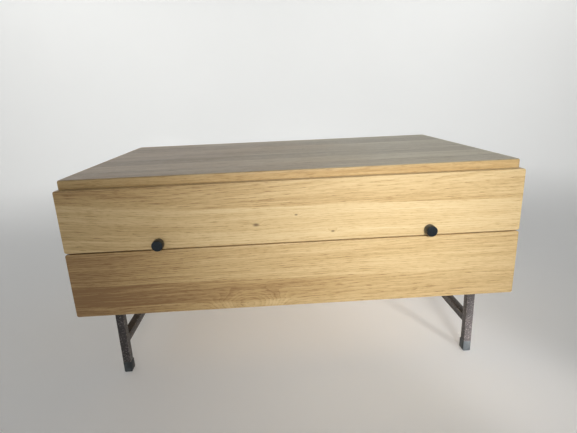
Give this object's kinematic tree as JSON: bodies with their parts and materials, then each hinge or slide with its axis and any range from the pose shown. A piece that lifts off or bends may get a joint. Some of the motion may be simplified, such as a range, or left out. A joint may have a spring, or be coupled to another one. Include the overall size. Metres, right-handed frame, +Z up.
{
  "type": "lift top coffee table",
  "caption": "Oak coffee table with a top that lifts up and forward on steel arms, a full-width drawer, two round knobs and square steel legs.",
  "frame": {"origin": "on the floor, under the middle of the table's bounding box", "axes": "+X to the right along the width, +Z up; the fronts, knobs and drawer face -Y"},
  "size_m": [1, 0.65, 0.475],
  "materials": {
    "oak_top": "satin lacquered oak, grey-brown",
    "oak": "satin lacquered oak",
    "light_board": "plain lacquered board",
    "dowel": "bare beech",
    "knob_black": "black satin metal",
    "bronze_steel": "dark bronze powder coat",
    "rubber": "matt",
    "bracket_steel": "black zinc plate",
    "zinc_steel": "bright zinc plate"
  },
  "bodies": {
    "base": {"left_side": "oak", "right_side": "oak", "back_panel": "oak", "compartment_floor": "light_board", "front_rail": "oak", "bottom_panel": "light_board", "carcass_dowels": "dowel", "left_base_bracket": "bracket_steel", "right_base_bracket": "bracket_steel", "base_bracket_screws": "zinc_steel", "left_base_pins": "zinc_steel", "right_base_pins": "zinc_steel", "left_spring_cap": "bracket_steel", "right_spring_cap": "bracket_steel", "lid_bumpers": "rubber", "front_left_leg": "bronze_steel", "front_right_leg": "bronze_steel", "back_left_leg": "bronze_steel", "back_right_leg": "bronze_steel", "left_stretcher": "bronze_steel", "right_stretcher": "bronze_steel", "left_top_rail": "bronze_steel", "right_top_rail": "bronze_steel", "frame_screws": "zinc_steel", "foot_caps": "rubber", "left_outer_runner": "zinc_steel", "right_outer_runner": "zinc_steel", "outer_runner_screws": "zinc_steel"},
    "front_arms": {"left_front_arm": "bracket_steel", "right_front_arm": "bracket_steel", "left_spring": "bracket_steel", "right_spring": "bracket_steel"},
    "rear_arms": {"left_rear_arm": "bracket_steel", "right_rear_arm": "bracket_steel"},
    "lid": {"top_panel": "oak_top", "upper_front": "oak", "apron_rail": "oak", "apron_screws": "zinc_steel", "left_knob": "knob_black", "right_knob": "knob_black", "knob_screws": "zinc_steel", "left_top_bracket": "bracket_steel", "right_top_bracket": "bracket_steel", "top_bracket_screws": "zinc_steel", "left_top_pins": "zinc_steel", "right_top_pins": "zinc_steel"},
    "middle_runners": {"left_middle_runner": "zinc_steel", "right_middle_runner": "zinc_steel"},
    "drawer": {"lower_front": "oak", "drawer_front_wall": "light_board", "drawer_left_wall": "light_board", "drawer_right_wall": "light_board", "drawer_back_wall": "light_board", "drawer_bottom": "light_board", "drawer_front_screws": "zinc_steel", "drawer_bumpers": "rubber", "left_inner_runner": "zinc_steel", "right_inner_runner": "zinc_steel", "inner_runner_screws": "zinc_steel"}
  },
  "joints": [
    {"name": "lift", "type": "hinge", "parent": "base", "child": "front_arms", "pos_m": [0, -0.07, 0.39], "axis": [1, 0, 0], "range_deg": [0, 125]},
    {"name": "lid_pivot", "type": "hinge", "parent": "front_arms", "child": "lid", "pos_m": [0, 0.14786, 0.42062], "axis": [1, 0, 0], "range_deg": [-125, 0]},
    {"name": "rear_arm_pivot", "type": "hinge", "parent": "base", "child": "rear_arms", "pos_m": [0, 0.00517, 0.36264], "axis": [1, 0, 0], "range_deg": [0, 125]},
    {"name": "drawer_slide", "type": "slide", "parent": "base", "child": "drawer", "axis": [0, -1, 0], "range_m": [0, 0.38]},
    {"name": "runner_slide", "type": "slide", "parent": "base", "child": "middle_runners", "axis": [0, -1, 0], "range_m": [0, 0.19]}
  ],
  "couplings": [
    {"joint": "lid_pivot", "follows": "lift", "ratio": -1},
    {"joint": "rear_arm_pivot", "follows": "lift", "ratio": 1},
    {"joint": "runner_slide", "follows": "drawer_slide", "ratio": 0.5}
  ]
}
